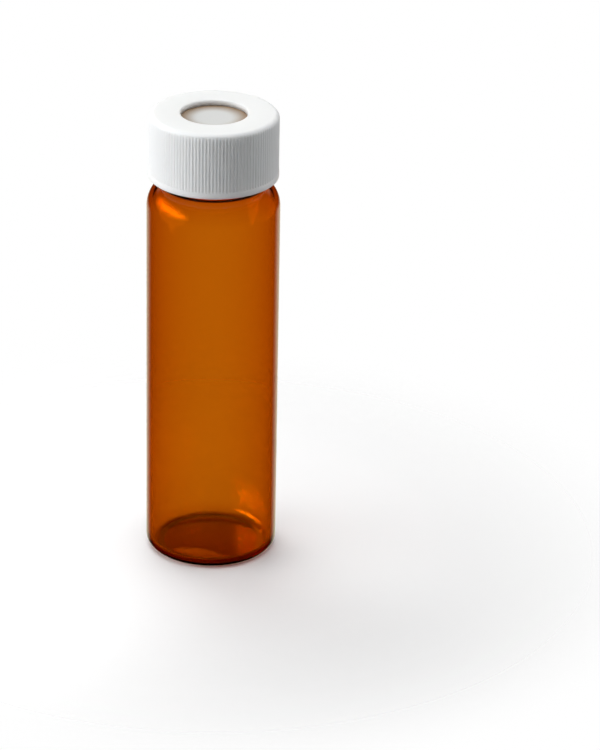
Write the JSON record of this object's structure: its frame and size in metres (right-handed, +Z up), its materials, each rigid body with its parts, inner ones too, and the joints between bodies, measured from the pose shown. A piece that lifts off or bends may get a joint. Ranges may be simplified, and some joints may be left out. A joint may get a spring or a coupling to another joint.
{
  "type": "glass sample vial",
  "caption": "Upright amber glass screw-thread sample vial with an open-top ribbed cap and a flat septum under its hole.",
  "frame": {"origin": "centre of the vial's base, on the plane of the ring that it stands on", "axes": "+Z up the axis of the vial and of its screw thread, towards the cap; +X and +Y are any two directions across, with both threads starting at +X"},
  "size_m": [0.0274, 0.0274, 0.0977],
  "materials": {
    "amber_glass": "clear amber borosilicate glass, fire polished",
    "silicone_septum": "smooth matt silicone, its lower face faced with a bonded film",
    "white_polypropylene": "moulded, soft sheen"
  },
  "bodies": {
    "vial": {"vial": "amber_glass"},
    "septum": {"septum": "silicone_septum"},
    "cap": {"cap": "white_polypropylene"}
  },
  "joints": [
    {"name": "septum_lift", "type": "slide", "parent": "vial", "child": "septum", "axis": [0, 0, 1], "range_m": [0, 0.0048]},
    {"name": "cap_turn", "type": "hinge", "parent": "septum", "child": "cap", "pos_m": [0, 0, 0.09], "axis": [0, 0, 1], "range_deg": [0, 540]}
  ],
  "couplings": [
    {"joint": "septum_lift", "follows": "cap_turn", "m_per_rad": 0.00050532}
  ]
}
